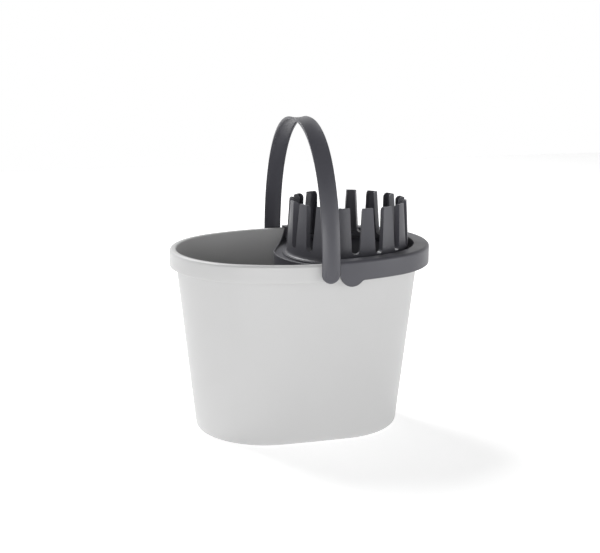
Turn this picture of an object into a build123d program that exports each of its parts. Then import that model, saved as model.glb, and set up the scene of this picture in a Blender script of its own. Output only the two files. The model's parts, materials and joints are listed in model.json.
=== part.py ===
from build123d import *

import os
from math import acos, atan2, cos, hypot, pi, sin, sqrt

# An oval mop bucket with a bail handle and a lift-off wringer. Millimetres, +Z up.
# The origin is the middle of the bucket's base, on the surface that it stands on. X runs along the
# bucket, with the wringer at its +X end, and Y runs across it, along the handle's pivot axis.

# ---------------------------------------------------------------- driving dimensions

# Bucket
rim_length = 370.0           # over the rim band, along X
rim_width = 275.0            # over the rim band, along Y
rim_side_bow = 12.0          # how much the long sides bow out past the round ends
bucket_height = 265.0
base_length = 297.0
base_width = 203.5
base_side_bow = 0.6
wall = 2.4
floor_thickness = 3.2
base_edge_radius = 7.0
foot_ring_width = 9.0        # flat ring that the bucket stands on
foot_groove_width = 6.0      # groove that sets the ring off from the base's middle
foot_groove_depth = 1.2
band_height = 24.5           # rim band, turned down outside the body
band_reach = 9.6             # how far the band stands out from the body at its lower edge
band_wall = 2.2
rim_thickness = 2.6
rim_edge_radius = 4.0

# Handle and its pivots
pivot_x = 3.0                # pivot axis past the bucket's middle, towards the wringer
strap_width = 25.6
strap_leg_thickness = 3.2
strap_top_thickness = 3.0
handle_rise = 196.0          # pivot axis to the top of the arch
arch_exponent = 2.2          # 2 is an ellipse, more is squarer
arch_steps = 20              # spans of the arch's curve from pivot to pivot
strap_edge_radius = 1.2
boss_radius = 10.0           # pivot boss on the band
boss_height = 3.6
boss_gap = 0.4               # boss to the handle's pad
pad_radius = 9.0
pad_height = 2.7
stud_radius = 5.0
stud_clearance = 0.06
stud_head_radius = 6.4
stud_head_length = 2.6
stud_head_gap = 0.5          # head to the band's inner face
stud_lead = 1.2              # chamfer that lets the stud snap in

# Wringer collar
collar_wall = 2.5
collar_side_gap = 1.0        # skirt to band at the long sides
collar_end_gap = 5.5         # skirt to band at the +X end
collar_seat_gap = 0.3        # top plate to the rim that it rests on
collar_top_thickness = 2.7
collar_edge_radius = 4.5
leg_gap = 1.4                # handle strap to the collar's end
ear_radius = 19.0
ear_drop = 7.9               # ear below the skirt
ear_blend = 8.0
end_rib_thickness = 2.0
end_rib_pitch = 50.0
end_rib_gap = 0.3            # rib to band
pan_wall = 2.2
pan_depth = 19.0             # shelf to the tray's floor
pan_floor = 2.4
pan_wall_gap = 1.1           # tray wall to the bucket's wall
tray_lip_gap = 13.0          # basket flange to the tray's round lip
tray_lip_height = 2.6
lip_level_length = 8.0      # level stretch of the lip at the tray's nose
tray_skirt_depth = 20.0      # below the tray's floor
tray_skirt_trim = 14.0       # skirt's ends stay this far inside the bucket's wall

# Wringer basket
finger_count = 16
finger_height = 58.5         # finger tops above the straight part of the slots
slot_rise = 2.5              # that point above the collar
basket_top_radius = 84.5     # outside of the fingers at their tops
basket_foot_radius = 88.0    # outside of the ring at the slots' lower ends
basket_flange = 6.0          # flange beyond the foot
flange_thickness = 2.5
flange_fillet = 4.5
flange_end_gap = 1.2         # flange to the tray's end wall
web_thickness = 2.4
finger_depth = 9.0           # radial depth of a finger's side walls
finger_side_wall = 1.9
finger_round = 6.0           # rounded inner corner of a finger's top
slot_top_width = 17.6
slot_foot_width = 11.5
cup_gap = 1.0                # cup to the hole in the tray
cup_depth = 78.0             # tray floor to the cup's underside
cup_foot_radius = 54.0
cup_wall = 2.4
drain_hole_radius = 3.5
drain_ring_radii = (14.0, 28.0, 42.0)

# ---------------------------------------------------------------- derived sizes

neck_z = bucket_height - band_height
neck_length = rim_length - 2 * band_reach
neck_width = rim_width - 2 * band_reach
pivot_z = bucket_height - band_height / 2
strap_inner_y = rim_width / 2 + boss_height + boss_gap + pad_height
strap_outer_y = strap_inner_y + strap_leg_thickness

collar_length = rim_length + 2 * (collar_end_gap + collar_wall)
collar_width = rim_width + 2 * (collar_side_gap + collar_wall)
collar_seat_z = bucket_height + collar_seat_gap
collar_top_z = collar_seat_z + collar_top_thickness
collar_start_x = pivot_x + strap_width / 2 + leg_gap
tray_z = collar_top_z - pan_depth
tray_underside_z = tray_z - pan_floor
taper_share = tray_underside_z / neck_z
pan_length = base_length + (neck_length - base_length) * taper_share - 2 * (wall + pan_wall_gap)
pan_width = base_width + (neck_width - base_width) * taper_share - 2 * (wall + pan_wall_gap)
pan_side_bow = base_side_bow + (rim_side_bow - base_side_bow) * taper_share

flange_radius = basket_foot_radius + basket_flange
basket_x = pan_length / 2 - pan_wall - flange_end_gap - flange_radius
slot_foot_z = collar_top_z + slot_rise
finger_top_z = slot_foot_z + finger_height
flange_top_z = tray_z + flange_thickness
cup_mouth_radius = basket_foot_radius - web_thickness - cup_wall
tray_hole_radius = cup_mouth_radius + cup_gap
tray_lip_radius = flange_radius + tray_lip_gap
cup_foot_z = tray_z - cup_depth


# ---------------------------------------------------------------- outlines

def oval(length, width, side_bow, mode=Mode.ADD):
    """Four-arc oval in the open sketch: round ends that run smoothly into two flatter sides."""
    end_radius = width / 2 - side_bow
    end_x = length / 2 - end_radius
    side_radius = (end_x**2 + (width / 2) ** 2 - end_radius**2) / (2 * side_bow)
    angle = atan2(side_radius - width / 2, end_x)
    joint_x = end_x + end_radius * cos(angle)
    joint_y = end_radius * sin(angle)
    with BuildLine() as outline:
        ThreePointArc((joint_x, -joint_y), (length / 2, 0), (joint_x, joint_y))
        ThreePointArc((joint_x, joint_y), (0, width / 2), (-joint_x, joint_y))
        ThreePointArc((-joint_x, joint_y), (-length / 2, 0), (-joint_x, -joint_y))
        ThreePointArc((-joint_x, -joint_y), (0, -width / 2), (joint_x, -joint_y))
    make_face(outline.edges(), mode=mode)


def oval_half_width(length, width, side_bow, x):
    """Half the width of an oval's flatter side at x."""
    end_radius = width / 2 - side_bow
    end_x = length / 2 - end_radius
    side_radius = (end_x**2 + (width / 2) ** 2 - end_radius**2) / (2 * side_bow)
    return sqrt(side_radius**2 - x**2) - (side_radius - width / 2)


def body_outline(height, inset=0.0, mode=Mode.ADD):
    """The tapered body's oval at a height, drawn in by inset."""
    share = height / neck_z
    oval(
        base_length + (neck_length - base_length) * share - 2 * inset,
        base_width + (neck_width - base_width) * share - 2 * inset,
        base_side_bow + (rim_side_bow - base_side_bow) * share,
        mode,
    )


def tray_nose(inset, mode=Mode.ADD):
    """The tray's end inside the bucket: a round lip, with a straight tangent to the rim on each side."""
    radius = tray_lip_radius - inset
    half_width = oval_half_width(pan_length, pan_width, pan_side_bow, collar_start_x) - inset
    reach = hypot(basket_x - collar_start_x, half_width)
    turn = pi - atan2(half_width, basket_x - collar_start_x) + acos(radius / reach)
    tangent_x = basket_x + radius * cos(turn)
    tangent_y = radius * sin(turn)
    with BuildLine() as outline:
        Line((collar_start_x, -half_width), (tangent_x, -tangent_y))
        ThreePointArc((tangent_x, -tangent_y), (basket_x - radius, 0), (tangent_x, tangent_y))
        Line((tangent_x, tangent_y), (collar_start_x, half_width))
        Line((collar_start_x, half_width), (collar_start_x, -half_width))
    make_face(outline.edges(), mode=mode)


def right_of(x):
    """Keep what lies past x in the open sketch."""
    with Locations((x + rim_length, 0)):
        Rectangle(2 * rim_length, 2 * rim_width, mode=Mode.INTERSECT)


def arch(half_span, rise):
    """Superellipse from the +Y pivot over the top to the -Y pivot, as points of one smooth curve."""
    points = []
    for step in range(arch_steps + 1):
        angle = pi * step / arch_steps
        side = 1 if step * 2 <= arch_steps else -1
        y = side * half_span * abs(cos(angle)) ** (2 / arch_exponent)
        z = pivot_z + rise * abs(sin(angle)) ** (2 / arch_exponent)
        points.append((y, z))
    return points


# ---------------------------------------------------------------- bucket

with BuildPart() as bucket:
    # Rim band: a cap whose underside is hollow, rounded over outside
    with BuildSketch(Plane.XY.offset(neck_z)):
        oval(rim_length, rim_width, rim_side_bow)
    extrude(amount=band_height)
    fillet(bucket.faces().sort_by(Axis.Z)[-1].edges(), rim_edge_radius)
    with BuildSketch(Plane.XY.offset(neck_z)):
        oval(rim_length - 2 * band_wall, rim_width - 2 * band_wall, rim_side_bow)
    extrude(amount=band_height - rim_thickness, mode=Mode.SUBTRACT)
    # Tapered body with a rounded foot
    with BuildSketch(Plane.XY.offset(0)):
        body_outline(0)
    with BuildSketch(Plane.XY.offset(bucket_height)):
        body_outline(bucket_height)
    loft()
    fillet(bucket.faces().sort_by(Axis.Z)[0].edges(), base_edge_radius)
    with BuildSketch():
        body_outline(0, base_edge_radius + foot_ring_width)
        body_outline(0, base_edge_radius + foot_ring_width + foot_groove_width, mode=Mode.SUBTRACT)
    extrude(amount=foot_groove_depth, mode=Mode.SUBTRACT)

# Inside of the bucket, as a plug that is taken out of it
with BuildPart() as cavity:
    with BuildSketch(Plane.XY.offset(floor_thickness)):
        body_outline(floor_thickness, wall)
    with BuildSketch(Plane.XY.offset(bucket_height + wall)):
        body_outline(bucket_height + wall, wall)
    loft()
    fillet(cavity.faces().sort_by(Axis.Z)[0].edges(), base_edge_radius - wall)

with bucket:
    add(cavity.part, mode=Mode.SUBTRACT)
    # Pivot bosses with their stud holes
    for side in (-1, 1):
        face = Plane((pivot_x, side * rim_width / 2, pivot_z), x_dir=(1, 0, 0), z_dir=(0, side, 0))
        with BuildSketch(face.offset(-band_wall / 2)):
            Circle(boss_radius)
        extrude(amount=band_wall / 2 + boss_height)
        with BuildSketch(face.offset(-band_wall - stud_head_gap)):
            Circle(stud_radius + stud_clearance)
        extrude(amount=band_wall + stud_head_gap + boss_height, mode=Mode.SUBTRACT)

bucket.part.label = "bucket"

# ---------------------------------------------------------------- handle

with BuildPart() as handle:
    strap_foot_z = pivot_z - strap_width / 2
    with BuildSketch(Plane.YZ.offset(pivot_x)):
        with BuildLine():
            Line((strap_outer_y, strap_foot_z), (strap_outer_y, pivot_z))
            Spline(arch(strap_outer_y, handle_rise), tangents=((0, 1), (0, -1)))
            Line((-strap_outer_y, pivot_z), (-strap_outer_y, strap_foot_z))
            Line((-strap_outer_y, strap_foot_z), (-strap_inner_y, strap_foot_z))
            Line((-strap_inner_y, strap_foot_z), (-strap_inner_y, pivot_z))
            inner_arch = arch(strap_inner_y, handle_rise - strap_top_thickness)
            Spline(inner_arch[::-1], tangents=((0, 1), (0, -1)))
            Line((strap_inner_y, pivot_z), (strap_inner_y, strap_foot_z))
            Line((strap_inner_y, strap_foot_z), (strap_outer_y, strap_foot_z))
        make_face()
    extrude(amount=strap_width / 2, both=True)
    # Round ends about the pivot axis
    with BuildSketch(Plane.XZ):
        with Locations((pivot_x, pivot_z)):
            Circle(strap_width / 2)
            Rectangle(strap_width, handle_rise + strap_width, align=(Align.CENTER, Align.MIN))
    extrude(amount=2 * strap_outer_y, both=True, mode=Mode.INTERSECT)
    side_edges = handle.faces().filter_by(Axis.X).edges()
    fillet(side_edges, strap_edge_radius)
    # Studs: pad, shank and snap head, turned about the pivot axis
    pad_y = strap_inner_y - pad_height
    head_y = rim_width / 2 - band_wall - stud_head_gap
    tip_y = head_y - stud_head_length
    pad_z = pivot_z + pad_radius
    shank_z = pivot_z + stud_radius
    head_z = pivot_z + stud_head_radius
    root_y = strap_inner_y + strap_leg_thickness / 2
    with BuildSketch(Plane.YZ.offset(pivot_x)):
        for side in (-1, 1):
            with BuildLine():
                Polyline(
                    (side * root_y, pivot_z),
                    (side * root_y, pad_z),
                    (side * pad_y, pad_z),
                    (side * pad_y, shank_z),
                    (side * head_y, shank_z),
                    (side * head_y, head_z),
                    (side * (tip_y + stud_lead), head_z),
                    (side * tip_y, head_z - stud_lead),
                    (side * tip_y, pivot_z),
                    close=True,
                )
            make_face()
    revolve(axis=Axis((pivot_x, 0, pivot_z), (0, 1, 0)))

handle.part.label = "handle"

# ---------------------------------------------------------------- wringer collar

with BuildPart() as wringer_collar:
    # Hook over the rim: top plate and outer skirt
    ear_foot_z = neck_z - ear_drop
    with BuildSketch(Plane.XY.offset(ear_foot_z)):
        oval(collar_length, collar_width, rim_side_bow)
        right_of(collar_start_x)
    extrude(amount=collar_top_z - ear_foot_z)
    top_face = wringer_collar.faces().sort_by(Axis.Z)[-1]
    fillet(top_face.edges().filter_by(GeomType.CIRCLE), collar_edge_radius)
    with BuildSketch(Plane.XY.offset(ear_foot_z)):
        oval(collar_length - 2 * collar_wall, collar_width - 2 * collar_wall, rim_side_bow)
    extrude(amount=collar_seat_z - ear_foot_z, mode=Mode.SUBTRACT)
    # Lower edge of the skirt, with a round ear at each end
    ear_x = collar_start_x + ear_radius
    ear_z = ear_foot_z + ear_radius
    with BuildSketch(Plane.XZ) as skirt_trim:
        with Locations((collar_start_x, ear_z)):
            Rectangle(2 * ear_radius, 2 * ear_radius, align=(Align.CENTER, Align.MAX))
        with Locations((ear_x, neck_z)):
            Rectangle(collar_length, 2 * ear_radius, align=(Align.MIN, Align.MAX))
        with Locations((ear_x, ear_z)):
            Circle(ear_radius, mode=Mode.SUBTRACT)
        corner_x = ear_x + sqrt(ear_radius**2 - (ear_z - neck_z) ** 2)
        corner = skirt_trim.vertices().sort_by_distance((corner_x, 0, neck_z))[0]
        fillet(corner, ear_blend)
    extrude(amount=collar_width, both=True, mode=Mode.SUBTRACT)
    # Ribs that centre the skirt's end on the band
    with BuildSketch(Plane.XY.offset(neck_z)):
        with GridLocations(0, end_rib_pitch, 1, 3):
            Rectangle(2 * collar_length, end_rib_thickness)
        right_of(rim_length / 4)
        oval(collar_length - collar_wall, collar_width - collar_wall, rim_side_bow, mode=Mode.INTERSECT)
        oval(rim_length + 2 * end_rib_gap, rim_width + 2 * end_rib_gap, rim_side_bow, mode=Mode.SUBTRACT)
    extrude(amount=collar_top_z - neck_z - collar_top_thickness / 2)
    # Tray inside the bucket
    with BuildSketch(Plane.XY.offset(tray_underside_z)):
        oval(pan_length, pan_width, pan_side_bow)
        right_of(collar_start_x)
        tray_nose(0)
    extrude(amount=collar_top_z - tray_underside_z)
    with BuildSketch(Plane.XY.offset(tray_underside_z - tray_skirt_depth)):
        tray_nose(0)
        tray_nose(pan_wall, mode=Mode.SUBTRACT)
        Rectangle(rim_length, pan_width - 2 * tray_skirt_trim, mode=Mode.INTERSECT)
    extrude(amount=tray_skirt_depth)
    with BuildSketch(Plane.XY.offset(tray_z)):
        oval(pan_length - 2 * pan_wall, pan_width - 2 * pan_wall, pan_side_bow)
        right_of(collar_start_x)
        tray_nose(pan_wall)
    extrude(amount=pan_depth, mode=Mode.SUBTRACT)
    with BuildSketch(Plane.XY.offset(tray_underside_z)):
        with Locations((basket_x, 0)):
            Circle(tray_hole_radius)
    extrude(amount=pan_floor, mode=Mode.SUBTRACT)
    # The nose's wall drops in a curve from the rim to the low lip
    lip_z = tray_z + tray_lip_height
    nose_x = basket_x - tray_lip_radius
    with BuildSketch(Plane.XZ):
        with BuildLine():
            Line((nose_x - wall, collar_top_z + 1), (nose_x - wall, lip_z))
            Line((nose_x - wall, lip_z), (nose_x + lip_level_length, lip_z))
            Spline(
                (nose_x + lip_level_length, lip_z),
                (collar_start_x, collar_top_z + 1),
                tangents=((1, 0), (0.5, 1)),
            )
            Line((collar_start_x, collar_top_z + 1), (nose_x - wall, collar_top_z + 1))
        make_face()
    extrude(amount=collar_width, both=True, mode=Mode.SUBTRACT)

wringer_collar.part.label = "wringer_collar"

# ---------------------------------------------------------------- wringer basket

web_foot_radius = basket_foot_radius - web_thickness
web_top_radius = basket_top_radius - web_thickness
finger_pitch = 360 / finger_count

with BuildPart() as wringer_basket:
    # Fingers' outer wall, ring, flange and drained cup, turned about the basket's axis
    with BuildSketch(Plane.XZ):
        with BuildLine():
            foot_x = basket_x + basket_foot_radius
            fillet_z = flange_top_z + flange_fillet
            on_arc = flange_fillet * (1 - sqrt(0.5))
            Line((basket_x + basket_top_radius, finger_top_z), (foot_x, slot_foot_z))
            Line((foot_x, slot_foot_z), (foot_x, fillet_z))
            ThreePointArc(
                (foot_x, fillet_z),
                (foot_x + on_arc, flange_top_z + on_arc),
                (foot_x + flange_fillet, flange_top_z),
            )
            Polyline(
                (foot_x + flange_fillet, flange_top_z),
                (basket_x + flange_radius, flange_top_z),
                (basket_x + flange_radius, tray_z),
                (basket_x + cup_mouth_radius, tray_z),
                (basket_x + cup_foot_radius, cup_foot_z),
                (basket_x, cup_foot_z),
                (basket_x, cup_foot_z + cup_wall),
                (basket_x + cup_foot_radius - cup_wall, cup_foot_z + cup_wall),
                (basket_x + cup_mouth_radius - cup_wall, tray_z),
                (basket_x + web_foot_radius, tray_z + web_foot_radius - cup_mouth_radius + cup_wall),
                (basket_x + web_foot_radius, slot_foot_z),
                (basket_x + web_top_radius, finger_top_z),
                (basket_x + basket_top_radius, finger_top_z),
            )
        make_face()
    revolve(axis=Axis((basket_x, 0, 0), (0, 0, 1)))
    # Ring that the fingers' side walls are cut from, rounded over at its inner top corner
    with BuildSketch(Plane.XZ):
        with BuildLine():
            inner_top_x = basket_x + basket_top_radius - finger_depth
            inner_foot_x = basket_x + basket_foot_radius - finger_depth
            Line((basket_x + web_top_radius, finger_top_z), (inner_top_x + finger_round, finger_top_z))
            ThreePointArc(
                (inner_top_x + finger_round, finger_top_z),
                (
                    inner_top_x + finger_round * (1 - sqrt(0.5)),
                    finger_top_z - finger_round * (1 - sqrt(0.5)),
                ),
                (inner_top_x, finger_top_z - finger_round),
            )
            Line((inner_top_x, finger_top_z - finger_round), (inner_foot_x, slot_foot_z - slot_foot_width))
            Line(
                (inner_foot_x, slot_foot_z - slot_foot_width),
                (basket_x + web_foot_radius, slot_foot_z - slot_foot_width),
            )
            Line(
                (basket_x + web_foot_radius, slot_foot_z - slot_foot_width),
                (basket_x + web_foot_radius, slot_foot_z),
            )
            Line((basket_x + web_foot_radius, slot_foot_z), (basket_x + web_top_radius, finger_top_z))
        make_face()
    revolve(axis=Axis((basket_x, 0, 0), (0, 0, 1)))
    # Tapered slots between the fingers, with round feet
    slot_spread = (slot_top_width - slot_foot_width) / 2 / finger_height
    for k in range(finger_count):
        turn = finger_pitch * (k + 0.5) + 90
        out = Plane.XZ.rotated((0, 0, turn))
        with BuildSketch(Plane((basket_x, 0, 0), x_dir=out.x_dir, z_dir=out.z_dir)):
            with BuildLine():
                top = finger_top_z + wall
                top_half = slot_foot_width / 2 + slot_spread * (top - slot_foot_z)
                Line((-slot_foot_width / 2, slot_foot_z), (-top_half, top))
                Line((-top_half, top), (top_half, top))
                Line((top_half, top), (slot_foot_width / 2, slot_foot_z))
                ThreePointArc(
                    (slot_foot_width / 2, slot_foot_z),
                    (0, slot_foot_z - slot_foot_width / 2),
                    (-slot_foot_width / 2, slot_foot_z),
                )
            make_face()
        extrude(amount=2 * basket_foot_radius, mode=Mode.SUBTRACT)
    # Pockets that leave each finger an outer web and two side walls
    pocket_foot_z = slot_foot_z - slot_foot_width / 2
    pocket_foot_half = pi * (basket_foot_radius - finger_depth) / finger_count - slot_foot_width / 2
    for k in range(finger_count):
        turn = finger_pitch * k + 90
        out = Plane.XZ.rotated((0, 0, turn))
        foot_half = pocket_foot_half - finger_side_wall
        top_half = foot_half - (slot_top_width - slot_foot_width) / 2
        with BuildSketch(Plane((basket_x, 0, 0), x_dir=out.x_dir, z_dir=out.z_dir)):
            with BuildLine():
                Polyline(
                    (-foot_half, pocket_foot_z),
                    (-top_half, finger_top_z + wall),
                    (top_half, finger_top_z + wall),
                    (foot_half, pocket_foot_z),
                    close=True,
                )
            make_face()
        extrude(amount=web_top_radius, mode=Mode.SUBTRACT)
    # Drain holes in the cup's floor
    with BuildSketch(Plane.XY.offset(cup_foot_z)):
        for ring, radius in enumerate(drain_ring_radii):
            with Locations((basket_x, 0)):
                with PolarLocations(radius, 6 * (ring + 1)):
                    Circle(drain_hole_radius)
    extrude(amount=cup_wall, mode=Mode.SUBTRACT)

wringer_basket.part.label = "wringer_basket"

# ---------------------------------------------------------------- files

os.makedirs("parts", exist_ok=True)
export_step(bucket.part, "parts/bucket.step")
export_step(handle.part, "parts/handle.step")
export_step(wringer_collar.part, "parts/wringer_collar.step")
export_step(wringer_basket.part, "parts/wringer_basket.step")
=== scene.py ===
"""Looks of an oval mop bucket with a bail handle and a lift-off wringer, laid out as a Blender add-on."""

import json
from math import cos, pi, radians, sin

import bmesh
import bpy
import numpy as np
from mathutils import Matrix, Vector


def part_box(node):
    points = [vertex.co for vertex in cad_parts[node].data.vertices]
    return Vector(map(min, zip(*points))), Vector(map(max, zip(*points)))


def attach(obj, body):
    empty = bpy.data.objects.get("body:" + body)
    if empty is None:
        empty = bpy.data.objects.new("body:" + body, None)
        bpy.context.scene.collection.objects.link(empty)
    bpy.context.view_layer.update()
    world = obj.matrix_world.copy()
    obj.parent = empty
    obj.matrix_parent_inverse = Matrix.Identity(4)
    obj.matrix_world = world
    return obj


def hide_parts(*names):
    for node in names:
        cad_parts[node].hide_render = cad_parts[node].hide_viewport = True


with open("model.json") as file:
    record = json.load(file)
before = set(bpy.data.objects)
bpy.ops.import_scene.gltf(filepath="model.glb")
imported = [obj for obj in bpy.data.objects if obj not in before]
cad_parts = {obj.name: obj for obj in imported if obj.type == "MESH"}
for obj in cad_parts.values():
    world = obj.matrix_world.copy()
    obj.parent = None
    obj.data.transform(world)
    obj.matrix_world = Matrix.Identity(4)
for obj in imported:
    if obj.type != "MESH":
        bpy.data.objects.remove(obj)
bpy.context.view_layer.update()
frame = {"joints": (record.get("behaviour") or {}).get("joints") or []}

bl_info = {
    "name": "Mop Bucket With Wringer",
    "version": (1, 0, 0),
    "blender": (4, 5, 0),
    "location": "3D View > Sidebar > Bucket",
    "description": "Builds the pail, handle, wringer and studio of an oval mop bucket",
    "category": "Object",
}

MM = 0.001  # the shapes below are worked out in millimetres
END_SHARE = 0.68  # share of an oval's samples that its round ends take
SHARP_ANGLE = radians(38)
JOINTS = {joint["name"]: joint for joint in frame["joints"]}
PIVOT_X, _, PIVOT_Z = (place / MM for place in JOINTS["handle_swing"]["pos_m"])
PAIL_LOW, PAIL_HIGH = (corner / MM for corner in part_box("bucket"))
HANDLE_LOW, HANDLE_HIGH = (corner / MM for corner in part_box("handle"))
_, COLLAR_HIGH = (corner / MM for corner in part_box("wringer_collar"))
BASKET_LOW, BASKET_HIGH = (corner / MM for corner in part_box("wringer_basket"))


# ------------------------------------------------------------------ meshes


def grid_faces(rows, columns, close_rows=False, close_columns=False):
    """Quads of a rows by columns grid of points numbered row by row, wrapped where closed."""
    row = np.arange(rows if close_rows else rows - 1)[:, None]
    column = np.arange(columns if close_columns else columns - 1)[None, :]
    below, beside = (row + 1) % rows, (column + 1) % columns
    here, there = row * columns, below * columns
    corners = (here + column, here + beside, there + beside, there + column)
    return np.stack(np.broadcast_arrays(*corners), axis=-1).reshape(-1, 4)


class Shape:
    """Vertices and faces gathered from several grids into one mesh."""

    def __init__(self):
        self.points, self.faces, self.count = [], [], 0

    def add(self, points, faces):
        """Append points, an array ending in x, y, z, and faces that number them from nought."""
        flat = np.asarray(points, float).reshape(-1, 3)
        self.points.append(flat)
        self.faces += (np.asarray(faces) + self.count).tolist()
        self.count += len(flat)

    def grid(self, points, close_rows=False, close_columns=False):
        """Append a grid of points, rows by columns by three."""
        rows, columns = points.shape[:2]
        self.add(points, grid_faces(rows, columns, close_rows, close_columns))

    def lids(self, points):
        """Close the first and last rows of a grid of closed rows, each with a fan about its mean."""
        for row in (points[0], points[-1]):
            fan = np.vstack([row, row.mean(axis=0)])
            here = np.arange(len(row))
            self.add(fan, np.stack([here, (here + 1) % len(row), np.full(len(row), len(row))], axis=-1))

    def build(self, name, material):
        """Make the object: doubles merged, faces turned outwards, edges past SHARP_ANGLE kept crisp."""
        mesh = bpy.data.meshes.new(name)
        mesh.from_pydata((np.vstack(self.points) * MM).tolist(), [], self.faces)
        shell = bmesh.new()
        shell.from_mesh(mesh)
        bmesh.ops.remove_doubles(shell, verts=shell.verts, dist=0.00001)
        bmesh.ops.dissolve_degenerate(shell, edges=shell.edges, dist=0.000005)
        bmesh.ops.recalc_face_normals(shell, faces=shell.faces)
        shell.to_mesh(mesh)
        shell.free()
        mesh.polygons.foreach_set("use_smooth", np.full(len(mesh.polygons), True))
        mesh.set_sharp_from_angle(angle=SHARP_ANGLE)
        mesh.materials.append(material)
        piece = bpy.data.objects.new(name, mesh)
        bpy.context.scene.collection.objects.link(piece)
        return piece


def arc(start, end, count):
    """Angles from start to end degrees, both included."""
    return np.radians(np.linspace(start, end, count))


def smooth_step(value):
    """0 to 1 with level ends: 3 v squared less 2 v cubed, v held between 0 and 1."""
    held = np.clip(value, 0, 1)
    return held * held * (3 - 2 * held)


def oval_arcs(length, width, side_bow):
    """A four-arc oval's end radius, end centre's x, side radius and the angle at which they meet.

    A round end has radius width / 2 - side_bow about a point on the X axis. A side is one flatter arc that
    meets the ends at a tangent: its radius is (end_x^2 + half_width^2 - end_radius^2) / (2 side_bow).
    """
    end_radius = width / 2 - side_bow
    end_x = length / 2 - end_radius
    side_radius = (end_x**2 + (width / 2) ** 2 - end_radius**2) / (2 * side_bow)
    return end_radius, end_x, side_radius, np.arctan2(side_radius - width / 2, end_x)


def oval(turn, length, width, side_bow):
    """Points of a four-arc oval, turn running once round from +X towards +Y.

    In each quarter the first END_SHARE of the turn goes evenly round the end arc, the rest along the side.
    """
    end_radius, end_x, side_radius, meet = oval_arcs(length, width, side_bow)
    quarter = np.floor(4 * turn) % 4
    part = 4 * turn - np.floor(4 * turn)
    part = np.where(quarter % 2 == 0, part, 1 - part)
    on_end = meet * part / END_SHARE
    on_side = meet + (pi / 2 - meet) * (part - END_SHARE) / (1 - END_SHARE)
    in_end = part < END_SHARE
    x = np.where(in_end, end_x + end_radius * np.cos(on_end), side_radius * np.cos(on_side))
    y = np.where(in_end, end_radius * np.sin(on_end), width / 2 - side_radius + side_radius * np.sin(on_side))
    x = np.where((quarter == 1) | (quarter == 2), -x, x)
    y = np.where(quarter >= 2, -y, y)
    return np.stack([x, y], axis=-1)


def at_level(flat, level):
    """Points in plan, given one height or one for each."""
    return np.concatenate([flat, np.broadcast_to(np.asarray(level, float), flat.shape[:1])[:, None]], axis=1)


def lathe(profile, centre, columns):
    """Surface of a profile of (radius, distance along Y) points turned about a crosswise axis."""
    turn = np.linspace(0, 2 * pi, columns, endpoint=False)
    radius, along = profile[:, 0][:, None], profile[:, 1][:, None]
    across, up = radius * np.cos(turn), radius * np.sin(turn)
    return np.stack([across, np.broadcast_to(along, across.shape), up], axis=-1) + np.asarray(centre, float)


# ------------------------------------------------------------------ materials


def linear(hex_colour):
    """sRGB hex such as #d2d2d0 as linear red, green, blue, alpha."""
    channels = [int(hex_colour[i : i + 2], 16) / 255 for i in (1, 3, 5)]
    return [c / 12.92 if c <= 0.04045 else ((c + 0.055) / 1.055) ** 2.4 for c in channels] + [1.0]


def add_node(tree, kind, settings=(), links=()):
    """Add a node, set its sockets (by name or number) or properties, and link (socket, source, output)."""
    made = tree.nodes.new(kind)
    for key, value in dict(settings).items():
        if isinstance(key, int) or key in made.inputs:
            made.inputs[key].default_value = value
        else:
            setattr(made, key, value)
    for socket, source, output in links:
        tree.links.new(source.outputs[output], made.inputs[socket])
    return made


def moulded_polypropylene(name, hex_colour, roughness, grain, mottle):
    """Injection-moulded polypropylene off a spark-eroded tool: a fine even grain that softens the gloss.

    The tool's grain is about 0.2 mm, too fine to show, so it is drawn at grain mm. Mottle is how much the
    pigment and the gloss drift over some 60 mm, as flow in the mould leaves them.
    """
    material = bpy.data.materials.new(name)
    material.use_nodes = True
    tree = material.node_tree
    tree.nodes.clear()
    place = add_node(tree, "ShaderNodeTexCoord")
    flow = add_node(
        tree,
        "ShaderNodeTexNoise",
        {"Scale": 1 / (60 * MM), "Detail": 3.0, "Roughness": 0.45},
        [("Vector", place, "Object")],
    )
    pits = add_node(
        tree,
        "ShaderNodeTexNoise",
        {"Scale": 1 / (grain * MM), "Detail": 2.0, "Roughness": 0.6},
        [("Vector", place, "Object")],
    )
    base = linear(hex_colour)
    darker = [channel * (1 - mottle) for channel in base[:3]] + [1.0]
    lighter = [min(channel * (1 + mottle), 1.0) for channel in base[:3]] + [1.0]
    tint = add_node(tree, "ShaderNodeMix", {"data_type": "RGBA", 6: darker, 7: lighter}, [(0, flow, "Fac")])
    gloss = add_node(
        tree,
        "ShaderNodeMapRange",
        {"From Min": 0.3, "From Max": 0.7, "To Min": roughness - 0.04, "To Max": roughness + 0.04},
        [("Value", flow, "Fac")],
    )
    bump = add_node(tree, "ShaderNodeBump", {"Strength": 0.12, "Distance": 0.0002}, [("Height", pits, "Fac")])
    shader = add_node(
        tree,
        "ShaderNodeBsdfPrincipled",
        {"IOR": 1.49},
        [("Roughness", gloss, "Result"), ("Normal", bump, "Normal")],
    )
    tree.links.new(tint.outputs[2], shader.inputs["Base Color"])
    add_node(tree, "ShaderNodeOutputMaterial", (), [("Surface", shader, "BSDF")])
    return material


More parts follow.
